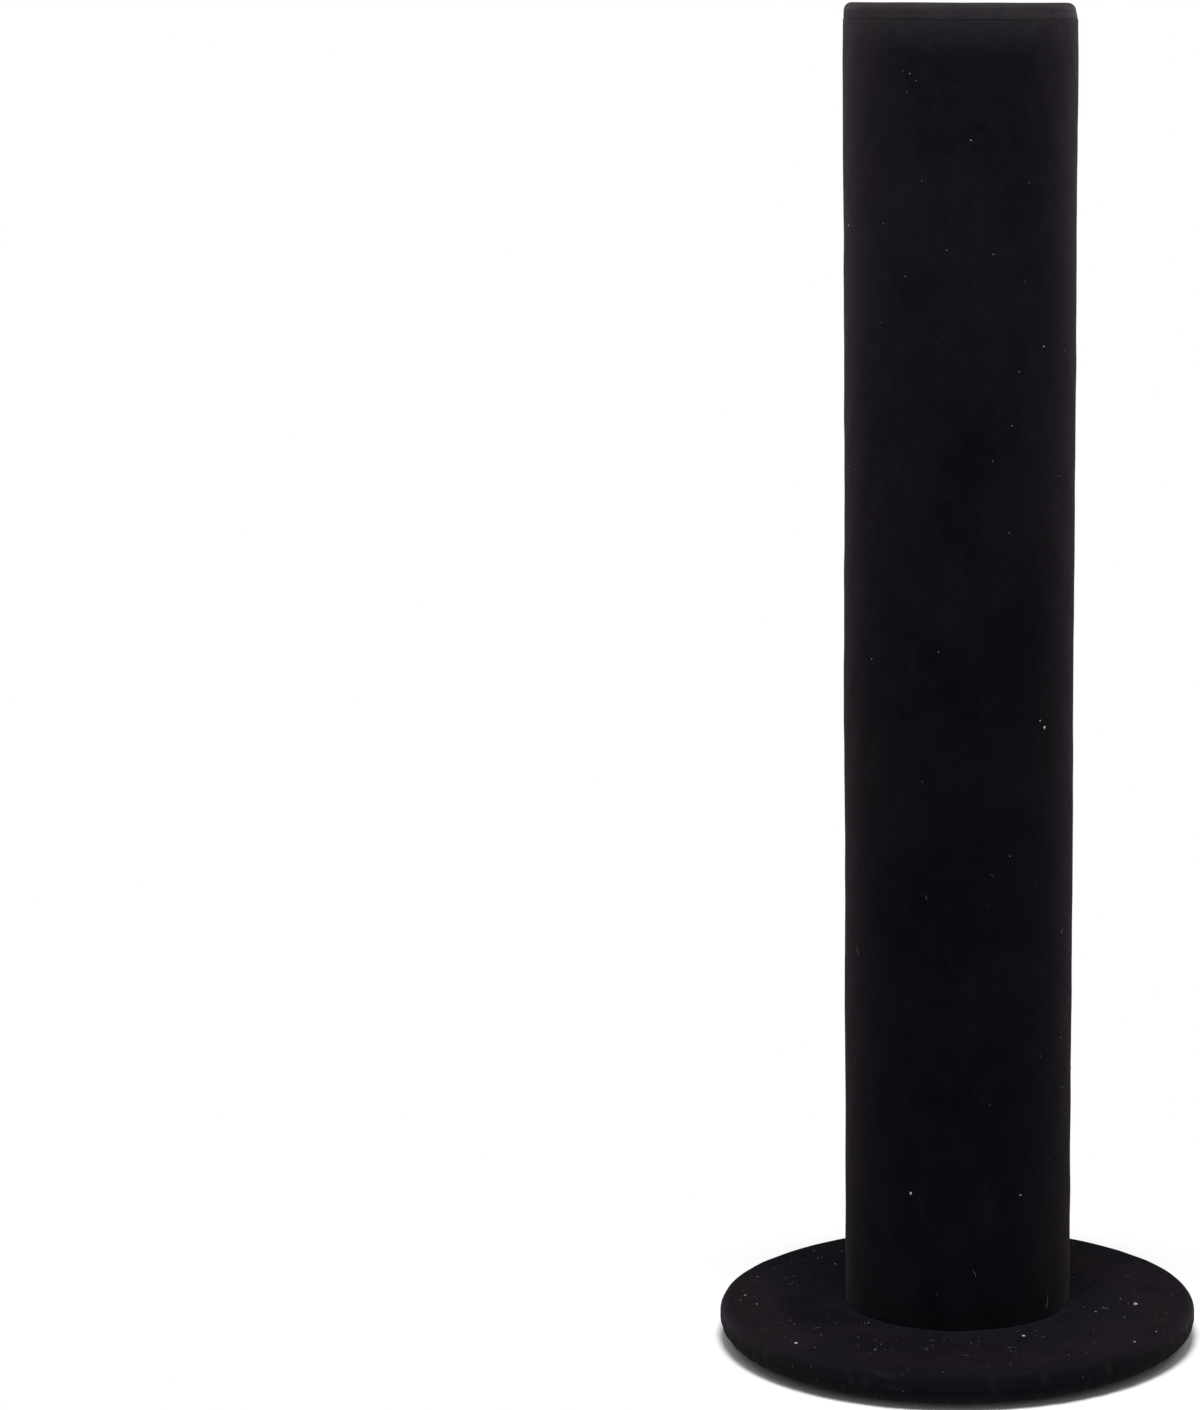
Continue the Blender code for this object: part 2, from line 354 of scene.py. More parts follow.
def oneOver(size):
    return put(size.id_data, "Math", {0: 1.0, 1: size}, operation="DIVIDE").outputs[0]


def noise(place, size, detail, roughness=0.5, distortion=0.0):
    inputs = {"Vector": place, "Scale": oneOver(size), "Detail": detail,
              "Roughness": roughness, "Distortion": distortion}
    return put(place.id_data, "TexNoise", inputs).outputs[0]


def newMaterial(name):
    material = bpy.data.materials.new(name)
    material.use_nodes = True
    tree = material.node_tree
    return material, tree, tree.nodes["Principled BSDF"]


def finishSurface(shader, color, roughness, height, own):
    bump = {"Height": height, "Strength": own["bump"][0], "Distance": own["bump"][1]}
    normal = put(shader.id_data, "Bump", bump).outputs[0]
    fill(shader, {"Base Color": color, "Roughness": roughness, "Normal": normal} | own["shader"])


def finishMatted(shader, surface, spots, own):
    # two tones with spots of a third
    color = mixColors(surface["Tone"], own["dark"], own["pale"])
    for spot in spots:
        color = mixColors(spot, color, own["spot"])
    rough = span(surface["Tone"], 0.0, 1.0, *own["roughness"])
    finishSurface(shader, color, rough, surface["Height"], own)


# shader node groups, built once

def makePileGroup():
    # standing pile: fine tufts in clumps
    tree, source, result = newGroup("pile", ["Tuft Size", "Clump Size"], ["Height", "Tone"])
    place = placeOn(tree)
    tuft = noise(place, source["Tuft Size"], 2.0, 0.6)
    clump = noise(place, source["Clump Size"], 3.0, 0.55, 0.4)
    height = calc("ADD", times(tuft, 0.6), times(clump, 0.4))
    fill(result, {"Height": height, "Tone": span(height, 0.36, 0.64)})
    return tree


napLayers = [
    # name, name of its size, detail, ends of its range, shift
    ("Patch", "Patch Size", 2.0, (0.40, 0.64), 0.0),
    ("Mottle", "Mottle Size", 4.0, (0.38, 0.66), 3.1),
    ("Hue", "Patch Size", 1.0, (0.42, 0.60), 7.7),
]


def makeNapGroup():
    # areas where the pile leans one way or another
    tree, source, result = newGroup("nap", ["Patch Size", "Mottle Size"], ["Patch", "Mottle", "Hue"])
    place = placeOn(tree)
    for label, size, detail, ends, shift in napLayers:
        spots = noise(moveBy(place, (shift,) * 3), source[size], detail, 0.5, 0.8)
        fill(result, {label: span(spots, *ends)})
    return tree


def makeStreakGroup():
    # short upright strokes left in the pile
    tree, source, result = newGroup("strokes", ["Width", "Stretch"], ["Stroke"])
    place = axesOf(placeOn(tree))
    squeezed = calc("DIVIDE", place[2], source["Stretch"])
    along = put(tree, "CombineXYZ", {0: place[0], 1: place[1], 2: squeezed}).outputs[0]
    strokes = noise(along, source["Width"], 2.0, 0.45, 0.3)
    fill(result, {"Stroke": span(strokes, 0.50, 0.72)})
    return tree


def makeFleckGroup():
    # dust caught in the pile, most of it faint
    tree, source, result = newGroup("flecks", ["Spacing", "Speck Size"], ["Fleck"])
    scale = oneOver(source["Spacing"])
    points = put(tree, "TexVoronoi", {"Vector": placeOn(tree), "Scale": scale, "Randomness": 1.0}).outputs
    reach = times(source["Speck Size"], scale)
    speck = span(points["Distance"], reach, times(reach, 0.4))
    faint = calc("POWER", put(tree, "SeparateColor", {0: points["Color"]}).outputs[0], 3.5)
    fill(result, {"Fleck": times(speck, faint)})
    return tree


def makeFibreGroup():
    # matted strands of wood or paper, with darker shives
    tree, source, result = newGroup("fibres", ["Strand Size", "Shive Size"], ["Tone", "Shive", "Height"])
    place = placeOn(tree)
    strands = []
    for angles, shift in (((0.3, 0.2, 0.5), 0.0), ((1.2, 0.7, 2.1), 4.0)):
        spin = put(tree, "VectorRotate", {"Vector": place, "Rotation": angles}, rotation_type="EULER_XYZ")
        drawn = moveBy(spin.outputs[0], (1.0, 0.22, 0.6), "MULTIPLY")
        moved = moveBy(drawn, (shift,) * 3)
        strands.append(noise(moved, source["Strand Size"], 4.0, 0.62))
    tone = times(calc("ADD", *strands), 0.5)
    shives = put(tree, "TexVoronoi", {"Vector": place, "Scale": oneOver(source["Shive Size"])}).outputs
    picked = span(put(tree, "SeparateColor", {0: shives["Color"]}).outputs[1], 0.90, 0.94)
    spot = span(shives["Distance"], 0.45, 0.15)
    fill(result, {"Tone": span(tone, 0.36, 0.64), "Shive": times(picked, spot), "Height": tone})
    return tree


def makeScratchGroup():
    # handling marks and cloudiness of plated steel
    tree, source, result = newGroup("scratches", ["Scratch Size", "Cloud Size"], ["Scratch", "Cloud"])
    place = placeOn(tree)
    stretched = moveBy(place, (1.0, 0.08, 1.0), "MULTIPLY")
    scratch = noise(stretched, source["Scratch Size"], 3.0, 0.7)
    cloud = noise(place, source["Cloud Size"], 2.0)
    fill(result, {"Scratch": span(scratch, 0.5, 0.75), "Cloud": span(cloud, 0.35, 0.65)})
    return tree


pileGroup = makePileGroup()
napGroup = makeNapGroup()
streakGroup = makeStreakGroup()
fleckGroup = makeFleckGroup()
fibreGroup = makeFibreGroup()
scratchGroup = makeScratchGroup()
print("node groups ready")


# velvet

velvetValues = {
    "deep": (0.0025, 0.0023, 0.0041),  # pile seen end on
    "leaning": (0.0070, 0.0064, 0.0088),  # pile brushed towards the light, and the tone that painted light brings it to
    "warm": (0.0090, 0.0056, 0.0076),  # brownish: a tint that varies at random, and the tint of painted sheen where the base is painted lighter
    "crushedAndLit": (0.018, 0.016, 0.019),  # flattened pile, and the tone of painted light on the base's side
    "worn": (0.0138, 0.0122, 0.0140),  # painted light, towards the top edge where the pile catches light from above
    "topEdgeLightFrom": (0.3385, 0.3523),  # heights between which it sets in
    "wornLeast": 0.8,  # its share where the mottle is dark
    "dust": (0.17, 0.165, 0.16),
    "speckSize": 0.22 * mm,
    "pile": {"Tuft Size": 0.35 * mm, "Clump Size": 2.2 * mm},
    "strokeStretch": 6.0,
    "light": (0.30, 0.22, 0.25, 0.7),  # shares of patches, mottle, tufts, and brushing with painted light and shade
    "hueShare": 0.25,
    "warmShare": 0.8,
    "crushAndLightShare": 0.5,
    "roughness": (0.95, 0.8),
    "bump": (0.5, 0.3 * mm),
    "shader": {"Specular IOR Level": 0.0, "Sheen Weight": 0.064, "Sheen Roughness": 0.43,
               "Sheen Tint": (1.0, 0.82, 0.98, 1.0)},
}

velvetKinds = {
    # sizes of patches, mottle and strokes, share of the strokes, spacing of the dust
    "columnVelvet": (45 * mm, 9 * mm, 2.2 * mm, 0.12, 4.4 * mm),
    "capVelvet": (25 * mm, 6 * mm, 2.2 * mm, 0.10, 4.8 * mm),
    "baseVelvet": (26 * mm, 5 * mm, 1.8 * mm, 0.16, 1.7 * mm),
}


def makeVelvet(name, own=velvetValues):
    material, tree, shader = newMaterial(name)
    patch, mottle, strokeWidth, strokeShare, dustSpacing = velvetKinds[name]
    pile = useGroup(tree, pileGroup, own["pile"])
    nap = useGroup(tree, napGroup, {"Patch Size": patch, "Mottle Size": mottle})
    stroke = useGroup(tree, streakGroup, {"Width": strokeWidth, "Stretch": own["strokeStretch"]})
    fleck = useGroup(tree, fleckGroup, {"Spacing": dustSpacing, "Speck Size": own["speckSize"]})
    light = times(stroke["Stroke"], strokeShare)
    # brushed pile, and painted light and shade, come in through the painted attribute
    effects = (nap["Patch"], nap["Mottle"], pile["Tone"], painted(tree, "brushAndLight"))
    for effect, share in zip(effects, own["light"]):
        light = calc("ADD", light, times(effect, share))
    light.node.use_clamp = True
    color = mixColors(light, own["deep"], own["leaning"])
    hue = calc("ADD", times(nap["Hue"], own["hueShare"]), painted(tree, "warm"), clamp=True)
    color = mixColors(times(hue, own["warmShare"]), color, own["warm"])
    # painted light towards the top edge
    worn = times(span(axesOf(placeOn(tree))[2], *own["topEdgeLightFrom"]),
                span(nap["Mottle"], 0.0, 1.0, own["wornLeast"], 1.0))
    color = mixColors(worn, color, own["worn"])
    # crushed pile, and painted light on the base's side
    color = mixColors(times(painted(tree, "crushAndLight"), own["crushAndLightShare"], clamp=True), color, own["crushedAndLit"])
    color = mixColors(fleck["Fleck"], color, own["dust"])
    rough = span(nap["Mottle"], 0.0, 1.0, *own["roughness"])
    finishSurface(shader, color, rough, pile["Height"], own)
    return material


# boards and paper

boardColors = {"dark": (0.34, 0.23, 0.13), "pale": (0.50, 0.37, 0.23), "spot": (0.16, 0.10, 0.06)}
paperColors = {"dark": (0.33, 0.28, 0.21), "pale": (0.46, 0.41, 0.33), "spot": (0.14, 0.12, 0.10)}

fibreKinds = {
    # colours, sizes of strands and shives, roughness between strands and on them, bumps
    "fibreboard": (boardColors, 1.1 * mm, 0.7 * mm, (0.88, 0.72), (0.6, 0.12 * mm)),
    "greyBoard": (paperColors, 1.4 * mm, 0.8 * mm, (0.94, 0.78), (0.6, 0.08 * mm)),
    "woundPaper": (paperColors, 1.6 * mm, 0.9 * mm, (0.93, 0.77), (0.6, 0.10 * mm)),
}
fibreShader = {"Specular IOR Level": 0.3}

winding = {"pitch": 85 * mm, "seam": (0.006, 0.002), "seamShare": 0.7}


def makeFibreMaterial(name):
    material, tree, shader = newMaterial(name)
    colors, strand, shive, roughness, bump = fibreKinds[name]
    fibre = useGroup(tree, fibreGroup, {"Strand Size": strand, "Shive Size": shive})
    spots = [fibre["Shive"], windingSeam(tree)] if name == "woundPaper" else [fibre["Shive"]]
    more = {"roughness": roughness, "bump": bump, "shader": fibreShader}
    finishMatted(shader, fibre, spots, colors | more)
    return material


def windingSeam(tree):
    # the fine dark line between the turns of a paper strip
    place = axesOf(placeOn(tree))
    turn = calc("DIVIDE", calc("ARCTAN2", place[1], place[0]), fullTurn)
    phase = calc("FRACT", calc("ADD", calc("DIVIDE", place[2], winding["pitch"]), turn))
    seam = span(calc("ABSOLUTE", calc("SUBTRACT", phase, 0.5)), *winding["seam"])
    return times(seam, winding["seamShare"])


# foam, plated steel and lint

foamValues = {
    "dark": (0.016, 0.016, 0.017),
    "pale": (0.030, 0.030, 0.031),
    "spot": (0.16, 0.155, 0.15),  # dust
    "dustShare": 0.6,
    "flecks": {"Spacing": 3.5 * mm, "Speck Size": 0.18 * mm},
    "cells": {"Tuft Size": 0.30 * mm, "Clump Size": 1.6 * mm},
    "roughness": (0.78, 0.6),
    "bump": (0.7, 0.2 * mm),
    "shader": {"Specular IOR Level": 0.35},
}

zincValues = {
    "cool": (0.56, 0.57, 0.60),
    "warm": (0.66, 0.65, 0.60),
    "marks": {"Scratch Size": 0.4 * mm, "Cloud Size": 4 * mm},
    "roughness": (0.22, 0.34),
    "scratchRoughness": 0.16,
    "bump": (0.25, 0.03 * mm),
    "shader": {"Metallic": 1.0},
}

lintFinish = {
    "faint": (0.02, 0.019, 0.02),
    "pale": (0.50, 0.49, 0.48),
    "tufts": {"Tuft Size": 0.1 * mm, "Clump Size": 0.4 * mm},
    "shade": (0.6, 1.0),  # between its tufts and on them
    "roughness": (0.9, 0.7),
    "shader": {"Sheen Weight": 0.05},
}


def makeFoam(own=foamValues):
    material, tree, shader = newMaterial("foamSheet")
    cells, fleck = useGroup(tree, pileGroup, own["cells"]), useGroup(tree, fleckGroup, own["flecks"])
    finishMatted(shader, cells, [times(fleck["Fleck"], own["dustShare"])], own)
    return material


def makeZinc(own=zincValues):
    material, tree, shader = newMaterial("zincSteel")
    marks = useGroup(tree, scratchGroup, own["marks"])
    color = mixColors(marks["Cloud"], own["cool"], own["warm"])
    rough = calc("ADD", times(marks["Scratch"], own["scratchRoughness"]),
                 span(marks["Cloud"], 0.0, 1.0, *own["roughness"]))
    finishSurface(shader, color, rough, marks["Scratch"], own)
    return material


def makeLintMaterial(own=lintFinish):
    material, tree, shader = newMaterial("lintFibre")
    tone = useGroup(tree, pileGroup, own["tufts"])["Tone"]
    share = times(painted(tree, "pale"), span(tone, 0.0, 1.0, *own["shade"]))
    color, rough = mixColors(share, own["faint"], own["pale"]), span(tone, 0.0, 1.0, *own["roughness"])
    fill(shader, {"Base Color": color, "Roughness": rough} | own["shader"])
    return material


columnVelvet, capVelvet, baseVelvet = (makeVelvet(name) for name in velvetKinds)
fibreboard, greyBoard, woundPaper = (makeFibreMaterial(name) for name in fibreKinds)
foamSheet, zincSteel, lintFibre = makeFoam(), makeZinc(), makeLintMaterial()
print("materials ready")


# camera

cameraValues = {
    "distance": 1.0778,  # from the column's axis
    "height": 0.3537,
    "lens": {"lens": 106.57, "sensor_width": 36.0, "shift_x": -0.2553},
    "pan": -0.014,  # degrees to the left
    "tilt": 9.600,  # degrees downwards
    "roll": 0.150,  # degrees
}


def makeCamera(own=cameraValues):
    camera = addObject("camera", bpy.data.cameras.new("camera"))
    for label, value in own["lens"].items():
        setattr(camera.data, label, value)
    place = Matrix.Translation((0.0, -own["distance"], own["height"]))
    for axis, degrees in (("Z", own["pan"]), ("X", 90 - own["tilt"]), ("Z", own["roll"])):
        place = place @ Matrix.Rotation(radians(degrees), 4, axis)
    camera.matrix_world = place
    bpy.context.scene.camera = camera


makeCamera()


# floor, world and lamps

stageValues = {
    # its hole, hidden under the foot, lets light reach the stand's underside
    "floorRings": (0.053, 0.105, 2.0),
    "floorColumns": 180,
    "floorDrop": 0.05 * mm,
    "floorTone": 0.97,
    "bounceTone": 0.62,  # what it throws back on the stand
    "floorShader": {"Roughness": 0.9, "Specular IOR Level": 0.0},
    "whiteFrom": (0.055, 0.105),  # where it fades to pure white
    "worldLight": 0.17,
    "lamps": [
        # name, place, aimed at, size, watts
        ("nearLamp", (0, -0.17, 0.58), (0, 0, 0.33), 0.2, 1.7),
        ("topLamp", (0, -0.25, 0.85), (0, 0, 0.3), 0.35, 4.2),
        ("backLamp", (0, 0.75, 0.75), (0, 0, 0.15), 0.8, 0.9),
        ("leftLamp", (-0.4, -0.02, 0.62), (0, 0, 0.32), 0.25, 0.33),
        ("rightLamp", (0.4, -0.02, 0.62), (0, 0, 0.32), 0.25, 0.33),
        ("underLamp", (0, -0.2, -0.6), (0, 0, 0), 0.5, 1.5),
    ],
}


def seenDirectly(tree):
    # 1 for rays that see the white surroundings
    path = put(tree, "LightPath").outputs
    either = calc("MAXIMUM", path["Is Camera Ray"], path["Is Glossy Ray"])
    return calc("MAXIMUM", either, path["Is Transmission Ray"])


def makeWorld():
    world = bpy.data.worlds.new("studio")
    world.use_nodes = True
    tree = world.node_tree
    tree.nodes.clear()
    light, white = (put(tree, "Background", {"Color": (1, 1, 1, 1), "Strength": strength}).outputs[0]
                    for strength in (stageValues["worldLight"], 1.0))
    mixed = put(tree, "MixShader", {0: seenDirectly(tree), 1: light, 2: white}).outputs[0]
    put(tree, "OutputWorld", {"Surface": mixed})
    bpy.context.scene.world = world


def makeFloorMaterial(own=stageValues):
    # pale paper that can't be seen from below
    material, tree, shader = newMaterial("paleFloor")
    seen = seenDirectly(tree)
    tone = mixColors(seen, (own["bounceTone"],) * 3, (own["floorTone"],) * 3)
    fill(shader, {"Base Color": tone} | own["floorShader"])
    reach = put(tree, "VectorMath", {0: placeOn(tree)}, operation="LENGTH").outputs["Value"]
    far = times(span(reach, *own["whiteFrom"]), seen)
    white = put(tree, "Emission").outputs[0]
    faded = put(tree, "MixShader", {0: far, 1: shader.outputs[0], 2: white}).outputs[0]
    below, clear = put(tree, "NewGeometry").outputs["Backfacing"], put(tree, "BsdfTransparent").outputs[0]
    oneSided = put(tree, "MixShader", {0: below, 1: faded, 2: clear}).outputs[0]
    fill(tree.nodes["Material Output"], {"Surface": oneSided})
    return material


def makeFloor(own=stageValues):
    rings = np.array(own["floorRings"])[:, None]
    mesh = gridMesh(turned(rings, 0.0, evenAngles(own["floorColumns"])))
    floor = meshObject("floor", mesh, makeFloorMaterial())
    floor.location.z = -own["floorDrop"]


def makeLamps():
    for name, place, target, size, power in stageValues["lamps"]:
        lamp = addObject(name, bpy.data.lights.new(name, "AREA"))
        lamp.data.shape = "DISK"
        lamp.data.size = size
        lamp.data.energy = power
        lamp.location = place
        lamp.rotation_euler = (Vector(target) - Vector(place)).to_track_quat("-Z", "Y").to_euler()


makeWorld()
makeFloor()
makeLamps()
bpy.context.scene.view_settings.view_transform = "Standard"
print("camera, floor and lamps ready")


# column cloth: turned in over both rims, butted down the back

columnCloth = {
    "thickness": 1.1 * mm,
    "topRound": 1.9 * mm,
    "lowRound": 1.9 * mm,
    "margin": 18.6 * mm,
    "notches": (16, 1.8 * mm, 24.1 * mm),  # how many, their width, their tips' radius
    "seamGap": 0.4 * mm,
    "seamColumns": (0.4 * mm, 0.8 * mm, 1.3 * mm),  # closer columns beside it
    # how much, and how far from the seam
    "seamRound": (0.35 * mm, 0.75 * mm),  # the pile falls away
    "seamLean": (0.17 * mm, 0.6 * mm),  # and leans over the gap
    "seamCrush": (0.25, 0.9 * mm),
    "seamReach": 6 * mm,  # of its wander
    "seamWander": (0.18 * mm, 14, 6, (1, 1), (0.03, 0.16)),
    # waves: height, seed, how many, times round, length in m
    "broadSwell": (0.07 * mm, 11, 14, (1, 6), (0.06, 0.22)),
    "fineSwell": (0.025 * mm, 12, 30, (6, 24), (0.012, 0.04)),
    "puckers": (0.035 * mm, 0.028 * mm, 13, 24, (30, 70), (0.02, 0.05)),  # mean depth first
    "puckerReach": 3.5 * mm,
    "pressDown": 0.25 * mm,  # of the foot, towards the base's cloth
    "footBounceLight": (0.6, 45 * mm),  # painted bounce light above the foot: how much, how high
    "footUneven": (0.3, 15, 18, (3, 20), (0.02, 0.09)),
    "columns": 288,
    "edgeRows": (8, 119, 8, 8),  # of the upper rim, side, lower rim and margins
    "flat": (0.185, 0.357),
}


def makeColumnCloth(own=columnCloth):
    radius, low, high = sizeOf("column_velvet")
    rim, margin, count = own["topRound"], own["margin"], own["edgeRows"][-1]
    rows = straightRows((margin, high), (radius - rim, high), count, (1.0, 0.0))
    shape = columnsOf(rows + sideRows("column_velvet", own, own["lowRound"]))
    height, out = shape[1:3]
    side = unit(out)
    halfGap = own["seamGap"] / 2 / radius
    angles = notchColumns(own, halfGap, fullTurn - halfGap)
    nearSeam = np.array(own["seamColumns"]) / radius
    angles = np.sort(np.concatenate([angles, halfGap + nearSeam, fullTurn - halfGap - nearSeam]))
    fromSeam = np.minimum(angles, fullTurn - angles) * radius
    fromEnd = np.minimum(high - height, height - low)

    lift = side * waves(angles, height, *own["broadSwell"])
    lift += side * waves(angles, height, *own["fineSwell"])
    lift -= side * np.exp(-fromEnd / own["puckerReach"]) * folds(angles, height, *own["puckers"])
    lift -= side * fadeOut(fromSeam, *own["seamRound"])
    lift += fullCorner(shape, rim)

    turn = side * waves(0 * angles, height, *own["seamWander"]) / radius
    turn = turn * np.exp(-fromSeam / own["seamReach"])
    lean = fadeOut(fromSeam - halfGap * radius, *own["seamLean"]) / radius
    radii = notchedRadii(own, shape, angles)
    pile = placeRows(shape, radii, angles, lift)
    pile = spun(pile, turn + np.where(angles < pi, -1, 1) * lean)
    pressEdge(pile, high)
    pressEdge(pile, low, own["pressDown"])
    back = spun(placeRows(shape, radii, angles, -own["thickness"]), turn)

    # painted bounce light above the foot
    brushAndLight = side * fadeOut(height - low, *own["footBounceLight"])
    brushAndLight = brushAndLight * (1 + waves(angles, height, *own["footUneven"]))
    paints = {"crushAndLight": side * fadeOut(fromSeam, *own["seamCrush"]), "brushAndLight": brushAndLight}
    piece = clothPiece("columnCloth", columnVelvet, pile, back, paints, seam=True)
    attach(piece, "root")
    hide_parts("column_velvet")


makeColumnCloth()
print("column cloth ready")


# cap cloth: drawn over the thin disc and glued under it

capCloth = {
    "thickness": 1.1 * mm,
    "topRound": 2.1 * mm,
    "lowRound": 1.6 * mm,
    "margin": 19.25 * mm,
    "notches": (16, 1.6 * mm, 24.05 * mm),
    "offset": 0.22 * mm,  # the disc sits a little to the left
    "flare": 1.9 * mm,  # height of the side's widening at the crease
    "flareShort": 0.07 * mm,  # and its distance from the column's side
    "swell": (0.04 * mm, 21, 16, (1, 7), (0.02, 0.07)),
    "swellReach": 8 * mm,  # from nothing in the middle
    "puckers": (0.03 * mm, 0.024 * mm, 22, 24, (26, 64), (0.02, 0.06)),
    "pressDown": 0.26 * mm,  # of its underside, towards the column's cloth
    "columns": 216,
    "topRows": 18,
    "edgeRows": (9, 2, 8, 7),  # of the upper round, side, lower round and margin
    "flat": (0.081, 0.081),
    "area": 0.00515,
}


def makeCapCloth(own=capCloth):
    radius, low, high = sizeOf("cap_velvet")
    rows = straightRows((0.0, high), (radius - own["topRound"], high), own["topRows"])
    shape = columnsOf(rows + sideRows("cap_velvet", own, own["lowRound"]))
    reach, height, out, up = shape[:4]
    angles, along = notchColumns(own)[:-1], runLength(reach, height)

    top = unit(up) * unit(reach / own["swellReach"])
    lift = top * waves(angles, along, *own["swell"])
    edge = unit(out) * unit(1 - up)
    lift -= edge * folds(angles, along, *own["puckers"])
    lift += fullCorner(shape, own["lowRound"]) * (up < 0)

    # the side widens downwards to meet the column's cloth all round
    fall = unit((low + own["flare"] - height) / own["flare"]) * (out > 0.3)
    meet = sizeOf("column_velvet")[0] - own["flareShort"] - radius
    meet = meet + own["offset"] * np.cos(pi / 2 + angles)
    radii = notchedRadii(own, shape, angles)
    pile = placeRows(shape, radii + meet * fall**2 * (3 - 2 * fall), angles, lift)
    back = placeRows(shape, radii, angles, -own["thickness"])
    for points in (pile, back):
        points[1:, :, 0] -= own["offset"]
    pressEdge(pile, low, own["pressDown"])
    piece = clothPiece("capCloth", capVelvet, pile, back, {})
    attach(piece, "root")
    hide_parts("cap_velvet")


makeCapCloth()
print("cap cloth ready")


# base cloth: drawn over the disc's edge, notched and turned in below

baseCloth = {
    "thickness": 1.1 * mm,
    "topRound": 2.8 * mm,
    "lowRound": 3.3 * mm,  # the cloth's back, over the board
    "tuckedRound": 4.6 * mm,  # its pile, drawn tight
    "holeRadius": 3.5 * mm,
    "margin": 47.6 * mm,
    "notches": (28, 2.2 * mm, 56.2 * mm),
    "swell": (0.07 * mm, 31, 16, (2, 9), (0.03, 0.12)),
    "fineSwell": (0.03 * mm, 32, 34, (12, 40), (0.008, 0.03)),
    "pleats": (0.096 * mm, 0.16 * mm, 34, 26, (34, 90), (0.012, 0.05)),
    "swellFrom": 0.5 * mm,  # from the column's foot
    "swellReach": 6 * mm,
    "footWelt": 0.16 * mm,  # squeezed up round the foot
    "weltUneven": (0.4, 33, 12, (4, 22), (0.05, 0.2)),
    "weltPlace": 1.3 * mm,  # from the foot
    "weltWidth": 0.8 * mm,
    "pressedTo": 4 * mm,  # by the column, from its foot
    "pressedFade": 3 * mm,
    "sideBounceLight": 0.75,  # painted bounce light on the side, and a painted highlight over the edge
    "edgeHighlight": 0.7,
    "weltHighlight": 0.7,  # painted highlight on the pile round the foot
    "brushAndLightUneven": (0.35, 36, 20, (4, 26), (0.012, 0.05)),
    "sideLitPile": 0.30,  # painted light on the side, in the crushed pile's tone, and more of it here and there:
    "sideLitPatches": [(-70, 36, 0.55), (75, 30, 0.25), (165, 40, 0.3)],  # degrees, half width, how much
    "columns": 540,
    "closeRows": (-1.5 * mm, 3.5 * mm),  # ends of the closest rows, from the column's foot
    "topRows": (8, 12, 24),  # inside those, among them and outside them
    "edgeRows": (9, 6, 9, 10),
    "flat": (0.1684, 0.1684),
    "area": 0.0223,
    # degrees to the right, mm from the top's edge, length, width, slant in degrees, depth
    "crushMarks": [
        (-25.5, 5, 5, 0.7, 24, 0.12), (-22, 5.5, 4, 1.2, -30, 0.15), (-17, 3.2, 7, 0.8, 78, 0.1),
        (-14, 6.4, 6, 0.7, 84, 0.1), (8.2, 5.6, 6, 0.6, 18, 0.12), (21, 4.6, 3, 0.6, -12, 0.08),
        (38, 5, 4, 0.7, 20, 0.1), (-52, 4.4, 4, 0.7, -18, 0.1), (75, 5, 5, 0.8, 15, 0.1),
        (118, 4.8, 4.5, 0.8, -25, 0.12), (164, 5.2, 5, 0.7, 22, 0.12), (-110, 5, 4, 0.8, 30, 0.12),
        (-80, -9, 4, 0.35, 5, 0.05), (-72, -12, 3, 0.35, -10, 0.05), (-88, -6, 4.5, 0.4, 8, 0.05),
        (-66, -7, 3, 0.35, 20, 0.05), (-92, -12, 3.5, 0.35, 0, 0.05), (68, -3, 5, 0.5, 75, 0.06),
        (-61, -3.5, 3, 0.4, -35, 0.05), (58, -9, 3, 0.35, 30, 0.05),
    ],
    # brushed pile, and painted light and shade: the column's painted shade darkens the front and the left,
    # painted sheen lightens the sides
    # degrees, radius in mm, half width in degrees, half depth in mm, lighter (+) or darker (-)
    "brushedAndLit": [
        (-74, 57, 32, 8, 1.05), (-84, 41, 26, 7, -0.6), (-123, 51, 16, 8, -0.3), (72, 56, 36, 10, 0.65),
        (35, 52, 24, 9, 0.1), (3, 46, 28, 9, -0.35), (-34, 42, 20, 6, -0.2), (118, 50, 22, 8, 0.45),
        (150, 50, 30, 9, 0.25), (-160, 52, 20, 8, 0.2),
    ],
}


def baseProfile(lowRound, own=baseCloth):
    # from the hole over the edge to the end of the margin
    (radius, _, high), footRadius = sizeOf("base_velvet"), sizeOf("column_velvet")[0]
    closest = [footRadius + place for place in own["closeRows"]]
    stops = [own["holeRadius"], *closest, radius - own["topRound"]]
    rows = runRows([(stop, high) for stop in stops], own["topRows"])
    return columnsOf(rows + sideRows("base_velvet", own, lowRound))


def baseMarks(angles, fromEdge, radius):
    # how crushed the pile is, and how far it's pressed down
    crushAndLight, down = 0, 0
    for degrees, place, length, width, slant, depth in baseCloth["crushMarks"]:
        across, up, lean = turnFrom(angles, degrees) * radius / mm, fromEdge / mm - place, radians(slant)
        onLine = up * cos(lean) + across * sin(lean)
        offLine = across * cos(lean) - up * sin(lean)
        mark = fadeOut(offLine, 1.0, width) * np.exp(-((2 * onLine / length) ** 4))
        crushAndLight, down = crushAndLight + mark, down + depth * mm * mark
    return crushAndLight, down


def spread(angles, areas):
    # soft areas, given by degrees, half width and amount
    return sum(fadeOut(np.degrees(turnFrom(angles, middle)), amount, wide) for middle, wide, amount in areas)


